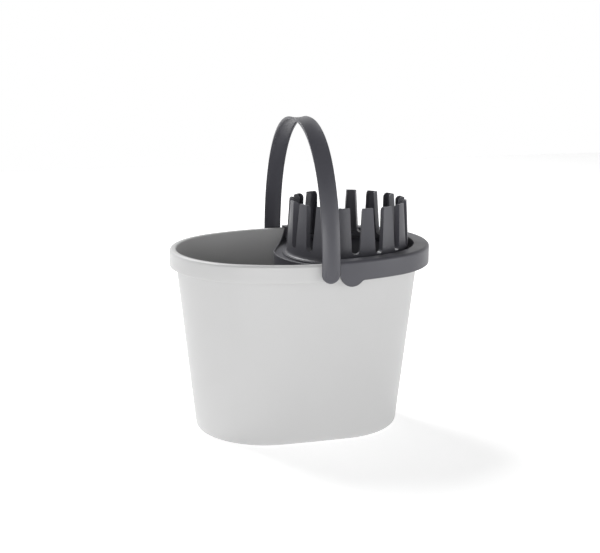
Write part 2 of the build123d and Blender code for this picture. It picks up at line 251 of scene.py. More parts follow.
def light_table(hex_colour, glow):
    """Opal acrylic light table, matt on top: lit from beneath, so it stays pale and shadows hardly show."""
    material = bpy.data.materials.new("Opal Acrylic Light Table")
    material.use_nodes = True
    tree = material.node_tree
    shader = tree.nodes["Principled BSDF"]
    place = add_node(tree, "ShaderNodeTexCoord")
    drift = add_node(tree, "ShaderNodeTexNoise", {"Scale": 1.5, "Detail": 2.0}, [("Vector", place, "Object")])
    gloss = add_node(tree, "ShaderNodeMapRange", {"To Min": 0.75, "To Max": 0.9}, [("Value", drift, "Fac")])
    tree.links.new(gloss.outputs["Result"], shader.inputs["Roughness"])
    shader.inputs["Base Color"].default_value = linear(hex_colour)
    shader.inputs["Emission Color"].default_value = (1, 1, 1, 1)
    shader.inputs["Emission Strength"].default_value = glow
    return material


def named(name, maker, *details, **finish):
    """The material of that name, made on first use."""
    return bpy.data.materials.get(name) or maker(name, *details, **finish)


# ------------------------------------------------------------------ settings


def length_property(title, what, size):
    """A length property whose default is given in millimetres."""
    default = size * MM
    return bpy.props.FloatProperty(name=title, description=what, default=default, unit="LENGTH", precision=4)


def angle_property(title, what, default):
    """An angle property whose default is given in radians."""
    return bpy.props.FloatProperty(name=title, description=what, default=default, unit="ROTATION")


def number_property(title, what, default):
    """A plain number property."""
    return bpy.props.FloatProperty(name=title, description=what, default=default)


def colour_property(title, what, default):
    """A colour property that holds sRGB hex."""
    return bpy.props.StringProperty(name=title, description=what, default=default)


class PailSettings(bpy.types.PropertyGroup):
    """Sizes and colour of the bucket."""

    rim_width: length_property("Rim width", "Across the rim band", 275.0)
    rim_side_bow: length_property("Rim side bow", "How far the rim's sides bow out past its ends", 12.0)
    base_length: length_property("Base length", "Along the base", 297.0)
    base_width: length_property("Base width", "Across the base", 203.5)
    base_side_bow: length_property("Base side bow", "How far the base's sides bow out past its ends", 0.6)
    wall: length_property("Wall", "Wall thickness", 2.4)
    floor: length_property("Floor", "Floor thickness", 3.2)
    foot_radius: length_property("Foot radius", "Rounding round the foot", 7.0)
    foot_ring: length_property("Foot ring", "Width of the ring that it stands on", 9.0)
    groove_width: length_property("Groove width", "Groove inside the foot ring", 6.0)
    groove_depth: length_property("Groove depth", "Depth of that groove", 1.2)
    band_height: length_property("Band height", "Height of the turned-down rim band", 24.5)
    band_reach: length_property("Band reach", "How far the band stands off the body", 9.6)
    band_wall: length_property("Band wall", "Thickness of the band", 2.2)
    rim_thickness: length_property("Rim thickness", "Thickness of the rim's top", 2.6)
    rim_radius: length_property("Rim radius", "Rounding of the rim's outer edge", 4.0)
    boss_radius: length_property("Boss radius", "Radius of a pivot boss", 10.0)
    boss_hole: length_property("Boss hole", "Radius of the hole for the handle's stud", 5.06)
    colour: colour_property("Colour", "sRGB hex of the bucket", "#bcbcbc")


class HandleSettings(bpy.types.PropertyGroup):
    """Sizes of the bail handle."""

    exponent: number_property("Arch exponent", "2 is an ellipse", 2.2)
    depth: length_property("Depth", "Outer face's middle to the back of the turned-in edges", 4.8)
    web: length_property("Web", "Thickness of the strap between its turned-in edges", 1.9)
    edge: length_property("Edge", "Width of each turned-in edge", 2.4)
    crown: length_property("Crown", "How far a leg's edges fall back from the middle of its outer face", 2.8)
    hollow: length_property("Hollow", "How far the grip's outer face dips between its edges", 1.7)
    pad_radius: length_property("Pad radius", "Radius of the pad round each stud", 9.0)
    pad_gap: length_property("Pad gap", "Pad to the boss that it turns against", 0.4)
    stud_radius: length_property("Stud radius", "Radius of a stud", 5.0)
    head_radius: length_property("Head radius", "Radius of a stud's snap head", 6.4)
    head_length: length_property("Head length", "Length of a stud's snap head", 2.6)
    colour: colour_property("Colour", "sRGB hex of the dark mouldings", "#48484e")


class CollarSettings(bpy.types.PropertyGroup):
    """Sizes of the collar that carries the wringer."""

    width: length_property("Width", "Across the skirt", 282.0)
    wall: length_property("Wall", "Thickness of the skirt", 2.5)
    top: length_property("Top", "Thickness of the shelf", 2.7)
    edge_radius: length_property("Edge radius", "Rounding of the skirt's top edge", 4.5)
    leg_gap: length_property("Leg gap", "Handle's leg to the collar's end", 1.4)
    ear_radius: length_property("Ear radius", "Radius of an ear", 19.0)
    ear_drop: length_property("Ear drop", "How far an ear hangs below the skirt", 7.9)
    ear_blend: length_property("Ear blend", "Radius of the hollow between an ear and the skirt", 8.0)
    tray_depth: length_property("Tray depth", "Shelf to the tray's floor", 19.0)
    tray_floor: length_property("Tray floor", "Thickness of the tray's floor", 2.4)
    tray_wall: length_property("Tray wall", "Thickness of the tray's wall", 2.2)
    tray_gap: length_property("Tray gap", "Tray wall to the bucket's wall", 1.1)
    hole_radius: length_property("Hole radius", "Hole that the basket's cup passes through", 84.2)
    lip_radius: length_property("Lip radius", "Radius of the tray's round nose", 107.0)
    lip_height: length_property("Lip height", "Height of the nose's lip above the tray's floor", 2.6)
    lip_level: length_property("Lip level", "Level stretch of the lip", 8.0)
    skirt_depth: length_property("Skirt depth", "Depth of the nose's skirt below the tray", 20.0)
    skirt_trim: length_property("Skirt trim", "Ends of the nose's skirt to the tray's sides", 14.0)
    rib_pitch: length_property("Rib pitch", "Between the ribs inside the end of the skirt", 50.0)
    rib_width: length_property("Rib width", "Thickness of a rib", 2.0)


class BasketSettings(bpy.types.PropertyGroup):
    """Sizes of the wringing basket."""

    fingers: bpy.props.IntProperty(name="Fingers", description="Number of fingers", default=16)
    top_radius: length_property("Top radius", "Outside of the fingers at their tops", 84.5)
    foot_radius: length_property("Foot radius", "Outside of the ring under the fingers", 88.0)
    finger_height: length_property("Finger height", "Fingers above the round feet of the slots", 58.5)
    tip_radius: length_property("Tip radius", "Rounding of the side walls into a finger's top", 6.0)
    web: length_property("Web", "Thickness of a finger's outer wall", 2.4)
    side_wall: length_property("Side wall", "Thickness of a finger's side walls", 1.9)
    depth: length_property("Depth", "Radial depth of a finger's side walls", 9.0)
    slot_top: length_property("Slot top", "Width of a slot at the finger tops", 17.6)
    slot_foot: length_property("Slot foot", "Width of a slot at its round foot", 11.5)
    flange_thickness: length_property("Flange thickness", "Thickness of the flange", 2.5)
    fillet: length_property("Fillet", "Rounding between ring and flange", 4.5)
    cup_depth: length_property("Cup depth", "Tray's floor to the cup's underside", 78.0)
    cup_radius: length_property("Cup radius", "Cup at its foot", 54.0)
    cup_wall: length_property("Cup wall", "Thickness of the cup", 2.4)
    softening: length_property("Softening", "Rounding of the fingers' edges", 0.45)
    drain_radius: length_property("Drain radius", "Radius of a drain hole", 3.5)
    drain_pitch: length_property("Drain pitch", "Between the rings of drain holes", 14.0)


class StudioSettings(bpy.types.PropertyGroup):
    """Camera, floor and lights."""

    azimuth: angle_property("Azimuth", "Camera's turn towards -X", 0.299)
    elevation: angle_property("Elevation", "Camera's height angle", 0.262)
    distance: length_property("Distance", "Camera to the object's middle", 1900.8)
    aim_height: length_property("Aim height", "Height that the camera circles about", 150.0)
    aim_turn: angle_property("Aim turn", "Camera's aim past the middle", 0.002)
    aim_tilt: angle_property("Aim tilt", "Camera's aim below the middle", -0.035)
    roll: angle_property("Roll", "Camera's roll", 0.009)
    lens: number_property("Lens", "Focal length in millimetres", 78.22)
    table_reach: length_property("Table reach", "Middle of the light table to its sides", 2600.0)
    table_colour: colour_property("Table colour", "sRGB hex of the light table", "#f7f7f7")
    glow: number_property("Glow", "Light that the table gives off", 0.52)
    zenith: number_property("Zenith", "Brightness of the light tent overhead, against 1 at the horizon", 0.12)


def sizes(group):
    """A settings group's lengths in millimetres and its other values as they are, by name."""
    values = {}
    for key, prop in group.bl_rna.properties.items():
        value = getattr(group, key, None)
        if prop.type in {"FLOAT", "INT", "STRING"}:
            values[key] = value / MM if prop.unit == "LENGTH" else value
    return values


def light_plastic(settings):
    """Fine-grained light grey polypropylene: soft wide sheen, hardly any colour."""
    finish = {"roughness": 0.44, "grain": 0.9, "mottle": 0.012}
    return named("Light Grey Polypropylene", moulded_polypropylene, settings["colour"], **finish)


def dark_plastic(settings):
    """Fine-grained anthracite polypropylene: the same grain, which shows more against the dark pigment."""
    finish = {"roughness": 0.40, "grain": 0.8, "mottle": 0.06}
    return named("Anthracite Polypropylene", moulded_polypropylene, settings["colour"], **finish)


# ------------------------------------------------------------------ pail


def body_size(level, pail):
    """The body's length, width and side bow at a height: the base's and the neck's, mixed by the height."""
    share = level / (PAIL_HIGH.z - pail["band_height"])
    neck_length = PAIL_HIGH.x - PAIL_LOW.x - 2 * pail["band_reach"]
    neck_width = pail["rim_width"] - 2 * pail["band_reach"]
    length = pail["base_length"] + (neck_length - pail["base_length"]) * share
    width = pail["base_width"] + (neck_width - pail["base_width"]) * share
    bow = pail["base_side_bow"] + (pail["rim_side_bow"] - pail["base_side_bow"]) * share
    return length, width, bow


def body_ring(turn, level, inset, pail):
    """The body's oval at a height, drawn in by inset."""
    length, width, bow = body_size(level, pail)
    return at_level(oval(turn, length - 2 * inset, width - 2 * inset, bow), level)


def band_ring(turn, level, inset, pail):
    """The rim band's oval, drawn in by inset, at a height."""
    rim_length = PAIL_HIGH.x - PAIL_LOW.x
    flat = oval(turn, rim_length - 2 * inset, pail["rim_width"] - 2 * inset, pail["rim_side_bow"])
    return at_level(flat, level)


def pail_rings(pail, turn):
    """Rings from the middle of the underside up the outside, over the rim and down inside to the floor."""
    top = PAIL_HIGH.z
    neck = top - pail["band_height"]
    foot, lip, soft, hub = pail["foot_radius"], pail["rim_radius"], 0.7, 60
    ring_in = foot + pail["foot_ring"]
    groove_in = ring_in + pail["groove_width"]
    rings = [body_ring(turn, 0, inset, pail) for inset in (hub, groove_in + soft)]
    rings += [
        body_ring(turn, pail["groove_depth"], inset, pail) for inset in (groove_in - soft, ring_in + soft)
    ]
    rings += [body_ring(turn, 0, ring_in - soft, pail)]
    rings += [body_ring(turn, foot * (1 - cos(a)), foot * (1 - sin(a)), pail) for a in arc(0, 90, 9)]
    rings += [body_ring(turn, z, 0, pail) for z in np.linspace(foot, top - pail["rim_thickness"] - 1, 30)[1:]]
    under = top - pail["rim_thickness"]
    rings += [body_ring(turn, under, -1, pail)]
    rings += [band_ring(turn, under, pail["band_wall"] + 1, pail)]
    rings += [band_ring(turn, under - 1, pail["band_wall"], pail)]
    half = pail["band_wall"] / 2
    rings += [band_ring(turn, neck + half * (1 - sin(a)), half * (1 + cos(a)), pail) for a in arc(0, 180, 9)]
    rings += [band_ring(turn, z, 0, pail) for z in np.linspace(neck + half, top - lip, 5)[1:]]
    rings += [band_ring(turn, top - lip * (1 - sin(a)), lip * (1 - cos(a)), pail) for a in arc(0, 90, 9)[1:]]
    inner = pail["wall"]
    rings += [
        body_ring(turn, top - inner * (1 - cos(a)), pail["wall"] - inner * (1 - sin(a)), pail)
        for a in arc(0, 90, 8)
    ]
    cove = foot - pail["wall"]
    rings += [
        body_ring(turn, z, pail["wall"], pail) for z in np.linspace(top - inner, pail["floor"] + cove, 30)[1:]
    ]
    rings += [
        body_ring(turn, pail["floor"] + cove * (1 - sin(a)), pail["wall"] + cove * (1 - cos(a)), pail)
        for a in arc(0, 90, 8)[1:]
    ]
    rings += [body_ring(turn, pail["floor"], hub, pail)]
    return np.stack(rings)


class BUCKET_OT_pail(bpy.types.Operator):
    """Make the tapered oval pail with its rolled rim and pivot bosses"""

    bl_idname = "bucket.pail"
    bl_label = "Pail"

    def execute(self, context):
        pail = sizes(context.scene.bucket_pail)
        turn = np.linspace(0, 1, 288, endpoint=False)
        shell = Shape()
        rings = pail_rings(pail, turn)
        shell.grid(rings, close_columns=True)
        shell.lids(rings)
        piece = shell.build("pail", light_plastic(pail))
        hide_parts("bucket")
        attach(piece, "bucket_body")
        bosses = Shape()
        reach, soft, chamfer = PAIL_HIGH.y, 1.0, 0.5
        hole, boss = pail["boss_hole"], pail["boss_radius"]
        root = pail["rim_width"] / 2 - pail["band_wall"] / 2
        for side in (-1, 1):
            profile = [(hole, root), (boss, root)]
            profile += [(boss - soft * (1 - cos(a)), reach - soft * (1 - sin(a))) for a in arc(0, 90, 5)]
            profile += [(hole + chamfer, reach), (hole, reach - chamfer)]
            turned = lathe(np.array(profile) * (1, side), (PIVOT_X, 0, PIVOT_Z), 64)
            bosses.grid(turned, close_rows=True, close_columns=True)
        piece = bosses.build("pivot_bosses", light_plastic(pail))
        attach(piece, "bucket_body")
        return {"FINISHED"}


# ------------------------------------------------------------------ handle


def arch_path(handle):
    """Dense points (y, z) of the strap's outer face: up one leg, over a superellipse and down the other.

    The superellipse is |y / a|^n + |z / b|^n = 1 above the pivots, with n the arch exponent.
    """
    reach = HANDLE_HIGH.y
    rise = HANDLE_HIGH.z - PIVOT_Z
    tail = PIVOT_Z - HANDLE_LOW.z
    angle = np.linspace(0, pi, 1201)
    power = 2 / handle["exponent"]
    y = reach * np.sign(np.cos(angle)) * np.abs(np.cos(angle)) ** power
    z = PIVOT_Z + rise * np.abs(np.sin(angle)) ** power
    foot = np.linspace(PIVOT_Z - tail, PIVOT_Z, 40, endpoint=False)
    y = np.concatenate([np.full(len(foot), reach), y, np.full(len(foot), -reach)])
    z = np.concatenate([foot, z, foot[::-1]])
    return y, z


def strap_section(handle):
    """One half of the strap's section as (share of half-width, inset from the edge, depth, pocket) rows.

    It runs from the middle of the outer face round the edge to the middle of the inner face. Depth is
    measured from the outer face, or from the edge's back where pocket is 0.5. Pocket is 1 where the row
    belongs to the recessed web between the turned-in edges.
    """
    edge, soft, fine = handle["edge"], 0.8, 0.5
    rows = [(share, 0, 0, 0) for share in np.linspace(0, 0.9, 8)]
    rows += [(1, soft * (1 - sin(a)), soft * (1 - cos(a)), 0) for a in arc(0, 90, 5)]
    rows += [(1, fine * (1 - cos(a)), -fine * (1 - sin(a)), 0.5) for a in arc(0, 90, 4)]
    rows += [(1, edge - fine + fine * sin(a), -fine * (1 - cos(a)), 0.5) for a in arc(0, 90, 4)]
    rows += [(1, edge + 0.3, 0, 1), (0.6, edge, 0, 1), (0.3, edge, 0, 1), (0, edge, 0, 1)]
    return rows


def add_strap(shape, handle):
    """The strap: its section carried along the arch, with a round tip at each foot.

    The outer face falls away by crown times the square of the distance from its middle line, or from the
    tip's centre, over the half-width squared. Towards the grip that turns into a hollow, and the edges and
    the crown get a quarter shallower. The half-width at a tip is sqrt(half^2 - distance to its centre^2).
    """
    half = (HANDLE_HIGH.x - HANDLE_LOW.x) / 2
    y, z = arch_path(handle)
    run = np.concatenate([[0], np.cumsum(np.hypot(np.diff(y), np.diff(z)))])
    near = half * (1 - np.cos(np.linspace(0, pi / 2, 22)))
    along = np.concatenate([near, np.linspace(half, run[-1] - half, 220)[1:-1], run[-1] - near[::-1]])
    py, pz = np.interp(along, run, y), np.interp(along, run, z)
    ty, tz = np.gradient(py, along), np.gradient(pz, along)
    size = np.hypot(ty, tz)
    inward_y, inward_z = -tz / size, ty / size
    tip = np.minimum(along, run[-1] - along)
    lengthwise = np.maximum(half - tip, 0)
    width = np.sqrt(np.maximum(half**2 - lengthwise**2, 0))
    solid_tip = smooth_step((tip - handle["edge"]) / 1.5)
    height = pz - PIVOT_Z
    ease = 1 - 0.25 * smooth_step((height - 40) / 100)  # shallower from 40 mm above the pivots on
    grip = smooth_step((height - 110) / 70)  # hollow from 110 mm above the pivots on
    crown, hollow, back = (1 - grip) * ease * handle["crown"], grip * handle["hollow"], ease * handle["depth"]
    section = strap_section(handle)
    rows = []
    for sign, part in ((1, section), (-1, section[::-1])):
        for share, inset, depth, pocket in part:
            across = share * np.maximum(width - inset, 0)
            spread = (across**2 + lengthwise**2) / half**2
            fall = crown * spread + hollow * (1 - spread)
            if pocket == 1:
                level = back - (back - fall - handle["web"]) * solid_tip
            else:
                level = (back if pocket else fall) + depth
            points = (PIVOT_X + sign * across, py + inward_y * level, pz + inward_z * level)
            rows.append(np.stack(points, axis=-1))
    shape.grid(np.stack(rows), close_rows=True)


def add_studs(shape, handle, pail):
    """The two studs, each a pad, a shank and a snap head turned about the pivot axis."""
    root = HANDLE_HIGH.y - handle["web"] / 2
    pad_face = PAIL_HIGH.y + handle["pad_gap"]
    head = pail["rim_width"] / 2 - pail["band_wall"] - 0.5
    end, lead = head - handle["head_length"], 1.2
    pad, stud, cap, tiny, soft = handle["pad_radius"], handle["stud_radius"], handle["head_radius"], 0.01, 0.6
    profile = [(tiny, root), (pad, root), (pad, pad_face + soft), (pad - soft, pad_face), (stud, pad_face)]
    profile += [(stud, head), (cap, head), (cap, end + lead), (cap - lead, end), (tiny, end)]
    for side in (-1, 1):
        turned = lathe(np.array(profile) * (1, side), (PIVOT_X, 0, PIVOT_Z), 48)
        shape.grid(turned, close_columns=True)
        shape.lids(turned)


class BUCKET_OT_handle(bpy.types.Operator):
    """Make the arched strap handle and the studs that it turns on"""

    bl_idname = "bucket.handle"
    bl_label = "Handle"

    def execute(self, context):
        handle = sizes(context.scene.bucket_handle)
        shape = Shape()
        add_strap(shape, handle)
        add_studs(shape, handle, sizes(context.scene.bucket_pail))
        piece = shape.build("strap_handle", dark_plastic(handle))
        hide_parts("handle")
        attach(piece, "handle_body")
        return {"FINISHED"}


# ------------------------------------------------------------------ wringer collar


def right_outline(length, width, side_bow, stations):
    """An oval's part past the first station: round from +Y over the +X end to -Y.

    The side arc is sampled at the given x stations and on to its joint, the end arc at even angles.
    """
    end_radius, end_x, side_radius, meet = oval_arcs(length, width, side_bow)
    x = np.concatenate([stations, np.linspace(stations[-1], side_radius * cos(meet), 14)[1:]])
    y = np.sqrt(side_radius**2 - x**2) - (side_radius - width / 2)
    turn = np.linspace(meet, 0, 40)[1:]
    x = np.concatenate([x, end_x + end_radius * np.cos(turn)])
    y = np.concatenate([y, end_radius * np.sin(turn)])
    half = np.stack([x, y], axis=-1)
    return np.concatenate([half, half[-2::-1] * (1, -1)])


def nose_outline(start, centre_x, radius, limit):
    """From start's mirror at -Y along a tangent, round a circle about centre_x and back along a tangent.

    The tangent touches at the angle pi - atan(h / d) + acos(radius / reach) from +X, where d and h are the
    start's distances from the circle's centre. Each tangent starts no further out than limit from the X axis.
    """
    reach = np.hypot(centre_x - start[0], start[1])
    turn = pi - np.arctan2(start[1], centre_x - start[0]) + np.arccos(radius / reach)
    touch = np.array([centre_x + radius * cos(turn), radius * sin(turn)])
    start = touch + (start - touch) * min(1.0, (limit - touch[1]) / (start[1] - touch[1]))
    side = touch + (start - touch) * np.linspace(0, 1, 13)[:, None]
    around = np.linspace(2 * pi - turn, turn, 65)
    round_part = np.stack([centre_x + radius * np.cos(around), radius * np.sin(around)], axis=-1)
    return np.concatenate([side[:0:-1] * (1, -1), round_part, side[1:]])


class Collar:
    """The collar's outlines and heights, worked out from its settings, the pail's and the CAD boxes."""

    def __init__(self, collar, pail):
        self.size = collar
        self.start_x = HANDLE_HIGH.x + collar["leg_gap"]
        self.top = COLLAR_HIGH.z
        self.seat = self.top - collar["top"]
        self.tray = self.top - collar["tray_depth"]
        self.under = self.tray - collar["tray_floor"]
        self.centre_x = (BASKET_LOW.x + BASKET_HIGH.x) / 2
        self.neck = PAIL_HIGH.z - pail["band_height"]
        self.bow = pail["rim_side_bow"]
        self.length = 2 * COLLAR_HIGH.x
        shrink = 2 * (pail["wall"] + collar["tray_gap"])
        body_length, body_width, self.pan_bow = body_size(self.under, pail)
        self.pan_length, self.pan_width = body_length - shrink, body_width - shrink
        radius, blend = collar["ear_radius"], collar["ear_blend"]
        self.ear_x, self.ear_z = self.start_x + radius, self.neck - collar["ear_drop"] + radius
        self.blend_x = self.ear_x + np.sqrt((radius + blend) ** 2 - (self.ear_z - self.neck + blend) ** 2)
        turned = self.ear_x - radius * np.cos(arc(0, 125, 24))
        self.stations = np.concatenate([turned, np.linspace(turned[-1], self.blend_x + 1, 9)[1:]])

    def pan(self, inset):
        """The tray's oval, drawn in by inset, past the start of the hook."""
        length, width = self.pan_length - 2 * inset, self.pan_width - 2 * inset
        return right_outline(length, width, self.pan_bow, self.stations)

    def hook(self, inset):
        """The skirt's oval, drawn in by inset, past the start of the hook."""
        length, width = self.length - 2 * inset, self.size["width"] - 2 * inset
        return right_outline(length, width, self.bow, self.stations)

    def nose(self, inset, limit=1e6):
        """The nose's outline, drawn in by inset."""
        return nose_outline(self.pan(inset)[0], self.centre_x, self.size["lip_radius"] - inset, limit)

    def tray_outline(self, inset):
        """The tray's whole outline, closed: oval past the start, nose before it."""
        return np.concatenate([self.pan(inset), self.nose(inset)[1:-1]])

    def skirt_foot(self, x):
        """Height of the skirt's lower edge at x: a round ear, a hollow blend, then level.

        The ear is z = centre - sqrt(r^2 - dx^2), the blend z = level - b + sqrt(b^2 - dx^2).
        """
        radius, blend = self.size["ear_radius"], self.size["ear_blend"]
        ear = self.ear_z - np.sqrt(np.maximum(radius**2 - (x - self.ear_x) ** 2, 0))
        bend = self.neck - blend + np.sqrt(np.maximum(blend**2 - (x - self.blend_x) ** 2, 0))
        touch = self.ear_x + (self.blend_x - self.ear_x) * radius / (radius + blend)
        return np.where(x < touch, ear, np.where(x < self.blend_x, bend, self.neck))

    def nose_top(self, x):
        """Height of the nose's wall at x: level at the lip, then a cubic up to the shelf.

        The cubic is Hermite's, level where it leaves the lip and with a slope of 2 at its end.
        """
        low, high = self.tray + self.size["lip_height"], self.top + 1
        first = self.centre_x - self.size["lip_radius"] + self.size["lip_level"]
        step = np.linspace(0, 1, 200)
        chord = np.hypot(self.start_x - first, high - low)
        rise, lead, pull = step**2 * (3 - 2 * step), step * (1 - step) ** 2, step**2 * (step - 1)
        end_x, end_z = 0.447, 0.894
        run_x = first + (self.start_x - first) * rise + chord * (lead + pull * end_x)
        run_z = low + (high - low) * rise + chord * pull * end_z
        return np.minimum(np.interp(x, run_x, run_z), self.top - 0.05)


def add_tray(shape, plan):
    """The tray: floor with the basket's hole, wall round it, and the nose that looks into the bucket."""
    collar = plan.size
    past = len(plan.pan(0))
    outline = plan.tray_outline(0)
    crest = np.where(np.arange(len(outline)) < past, plan.top - 0.4, plan.nose_top(outline[:, 0]))
    wall, soft, fine = collar["tray_wall"], 0.7, 0.4
    low, chamfer = plan.under + 0.5, 0.5
    rows = [at_level(outline, low)]
    for share in np.linspace(0.1, 1, 8):
        rows.append(at_level(outline, low + (crest - soft - low) * share))
    for a in arc(0, 90, 4)[1:]:
        rows.append(at_level(plan.tray_outline(soft * (1 - cos(a))), crest - soft * (1 - sin(a))))
    for a in arc(90, 0, 4):
        rows.append(at_level(plan.tray_outline(wall - soft * (1 - cos(a))), crest - soft * (1 - sin(a))))
    cove = 1.6
    inside = plan.tray_outline(wall)
    for share in np.linspace(0.1, 1, 8):
        rows.append(at_level(inside, crest - soft + (plan.tray + cove - crest + soft) * share))
    for a in arc(0, 90, 5)[1:]:
        rows.append(at_level(plan.tray_outline(wall + cove * (1 - cos(a))), plan.tray + cove * (1 - sin(a))))
    inner = plan.tray_outline(wall + cove)
    way = inner - (plan.centre_x, 0)
    around = way / np.linalg.norm(way, axis=1)[:, None]
    hole = (plan.centre_x, 0) + around * collar["hole_radius"]
    edge = hole + around * fine
    rows += [at_level(inner + (edge - inner) * share, plan.tray) for share in np.linspace(0, 1, 7)[1:]]
    rows += [at_level(hole, plan.tray - fine), at_level(hole, plan.under + fine), at_level(edge, plan.under)]
    outer = plan.tray_outline(chamfer)
    rows += [at_level(edge + (outer - edge) * share, plan.under) for share in np.linspace(0, 1, 7)[1:]]
    shape.grid(np.stack(rows), close_rows=True, close_columns=True)


def add_hook(shape, plan):
    """The hook over the rim: shelf and skirt as one bent sheet, paired outside and inside points."""
    collar = plan.size
    wall, edge, soft, chamfer = collar["wall"], collar["edge_radius"], 0.8, 0.6
    foot = plan.skirt_foot(plan.hook(0)[:, 0])
    inward = collar["tray_wall"] + 0.05
    pairs = []
    for a in arc(0, 90, 4):
        flat = plan.pan(inward - soft * (1 - cos(a)))
        pairs.append((at_level(flat, plan.top - soft * (1 - sin(a))), at_level(flat, plan.seat)))
    near, far = plan.pan(inward - soft), plan.hook(edge)
    for share in np.linspace(0, 1, 6)[1:]:
        flat = near + (far - near) * share
        pairs.append((at_level(flat, plan.top), at_level(flat, plan.seat)))
    bend = edge - wall
    for a in arc(0, 90, 8)[1:]:
        outside = at_level(plan.hook(edge * (1 - sin(a))), plan.top - edge * (1 - cos(a)))
        inside = at_level(plan.hook(edge - bend * sin(a)), plan.seat - bend * (1 - cos(a)))
        pairs.append((outside, inside))
    out, inn = plan.top - edge, plan.seat - bend
    for share in np.linspace(0.12, 1, 9):
        outside = at_level(plan.hook(0), out + (foot + chamfer - out) * share)
        pairs.append((outside, at_level(plan.hook(wall), inn + (foot + chamfer - inn) * share)))
    pairs.append((at_level(plan.hook(chamfer), foot), at_level(plan.hook(wall - chamfer), foot)))
    outside, inside = (np.stack(side) for side in zip(*pairs))
    shape.grid(np.concatenate([outside, inside[::-1]]), close_rows=True)
    for end in (0, -1):
        shape.grid(np.stack([outside[:, end], inside[:, end]]))


def add_nose_skirt(shape, plan):
    """The skirt that hangs from the nose inside the bucket, a bent strip with a chamfered lower edge."""
    collar = plan.size
    limit = plan.pan_width / 2 - collar["skirt_trim"]
    foot, wall, fine, chamfer = plan.under - collar["skirt_depth"], collar["tray_wall"], 0.03, 0.5
    middle, head = foot + 12, plan.tray - chamfer
    section = [(fine, head), (fine, middle), (fine, foot + chamfer), (chamfer, foot)]
    section += [(wall - chamfer, foot), (wall, foot + chamfer), (wall, middle), (wall, head)]
    strip = np.stack([at_level(plan.nose(inset, limit), level) for inset, level in section], axis=1)
    shape.grid(strip, close_columns=True)
    shape.lids(strip)


def add_ribs(shape, plan, pail):
    """Three upright ribs in the skirt's end that centre it on the rim band.

    Each runs from the band's end arc, plus a gap, to a little way into the skirt's end arc. An arc's x is its
    centre's plus sqrt(radius^2 - y^2).
    """
    reach, gap, sunk = (PAIL_HIGH.x - PAIL_LOW.x) / 2, 0.3, 1.2
    band_radius = pail["rim_width"] / 2 - plan.bow + gap
    hook_radius = plan.size["width"] / 2 - plan.bow - sunk
    band_x, hook_x = reach - band_radius + gap, plan.length / 2 - hook_radius - sunk
    for middle in (-plan.size["rib_pitch"], 0, plan.size["rib_pitch"]):
        y = middle + plan.size["rib_width"] / 2 * np.array([-1, 1])
        inner, outer = band_x + np.sqrt(band_radius**2 - y**2), hook_x + np.sqrt(hook_radius**2 - y**2)
        plan_view = np.array([(inner[0], y[0]), (outer[0], y[0]), (outer[1], y[1]), (inner[1], y[1])])
        box = np.stack([at_level(plan_view, z) for z in (plan.neck, plan.seat + 1)])
        shape.grid(box, close_columns=True)
        shape.lids(box)


class BUCKET_OT_collar(bpy.types.Operator):
    """Make the collar that hooks over the rim, with its tray, nose and ribs"""

    bl_idname = "bucket.collar"
    bl_label = "Wringer Collar"

    def execute(self, context):
        pail = sizes(context.scene.bucket_pail)
        plan = Collar(sizes(context.scene.bucket_collar), pail)
        shape = Shape()
        add_hook(shape, plan)
        add_tray(shape, plan)
        add_nose_skirt(shape, plan)
        add_ribs(shape, plan, pail)
        piece = shape.build("collar", dark_plastic(sizes(context.scene.bucket_handle)))
        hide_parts("wringer_collar")
        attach(piece, "wringer_body")
        return {"FINISHED"}


# ------------------------------------------------------------------ wringer basket


class Finger:
    """One finger's sector: half angles of its slot sides and pocket sides at any height and radius."""

    def __init__(self, basket):
        self.size = basket
        self.half_pitch = pi / basket["fingers"]
        self.top = BASKET_HIGH.z
        self.slot_foot = self.top - basket["finger_height"]
        self.pocket_foot = self.slot_foot - basket["slot_foot"] / 2
        self.spread = (basket["slot_top"] - basket["slot_foot"]) / 2 / basket["finger_height"]
        self.round_foot = self.top - basket["tip_radius"]
        bottom = self.half_pitch * (basket["foot_radius"] - basket["depth"]) - basket["slot_foot"] / 2
        self.pocket_bottom = bottom - basket["side_wall"]

    def outside(self, z):
        """Radius of the outer face: straight from the foot radius to the top radius."""
        share = np.clip((z - self.slot_foot) / self.size["finger_height"], 0, 1)
        return self.size["foot_radius"] + (self.size["top_radius"] - self.size["foot_radius"]) * share

    def inside(self, z):
        """Radius of the side walls' inner edges, with r - sqrt(r^2 - rise^2) more in the tip's rounding."""
        tip = self.size["tip_radius"]
        rise = np.clip(z - self.round_foot, 0, tip)
        straight = self.outside(np.minimum(z, self.round_foot)) - self.size["depth"]
        return straight + tip - np.sqrt(tip**2 - rise**2)

    def slot_side(self, z, radius):
        """Half angle to the slot: half the pitch less asin(half the slot's width / radius).

        Half the width grows evenly upwards, and below the slot's foot it is sqrt(half^2 - depth^2).
        """
        half = self.size["slot_foot"] / 2
        low = np.sqrt(np.maximum(half**2 - np.minimum(z - self.slot_foot, 0) ** 2, 0))
        width = np.where(z < self.slot_foot, low, half + self.spread * (z - self.slot_foot))
        return self.half_pitch - np.arcsin(width / radius)

    def pocket_side(self, z, radius):
        """Half angle to the pocket's side, which leans in with the slot's."""
        taper = self.spread * (z - self.pocket_foot) * self.size["finger_height"]
        width = self.pocket_bottom - taper / (self.top + 2.4 - self.pocket_foot)
        return np.arcsin(width / radius)

    def columns(self, z, radius):
        """Angles from slot side to slot side: strip, pocket, strip, for arrays of height and radius."""
        slot, pocket = self.slot_side(z, radius)[:, None], self.pocket_side(z, radius)[:, None]
        strip = pocket + (slot - pocket) * np.linspace(1, 0, 3)[:-1]
        middle = pocket * np.linspace(-1, 1, 9)
        return np.concatenate([-strip, middle, strip[:, ::-1]], axis=1)


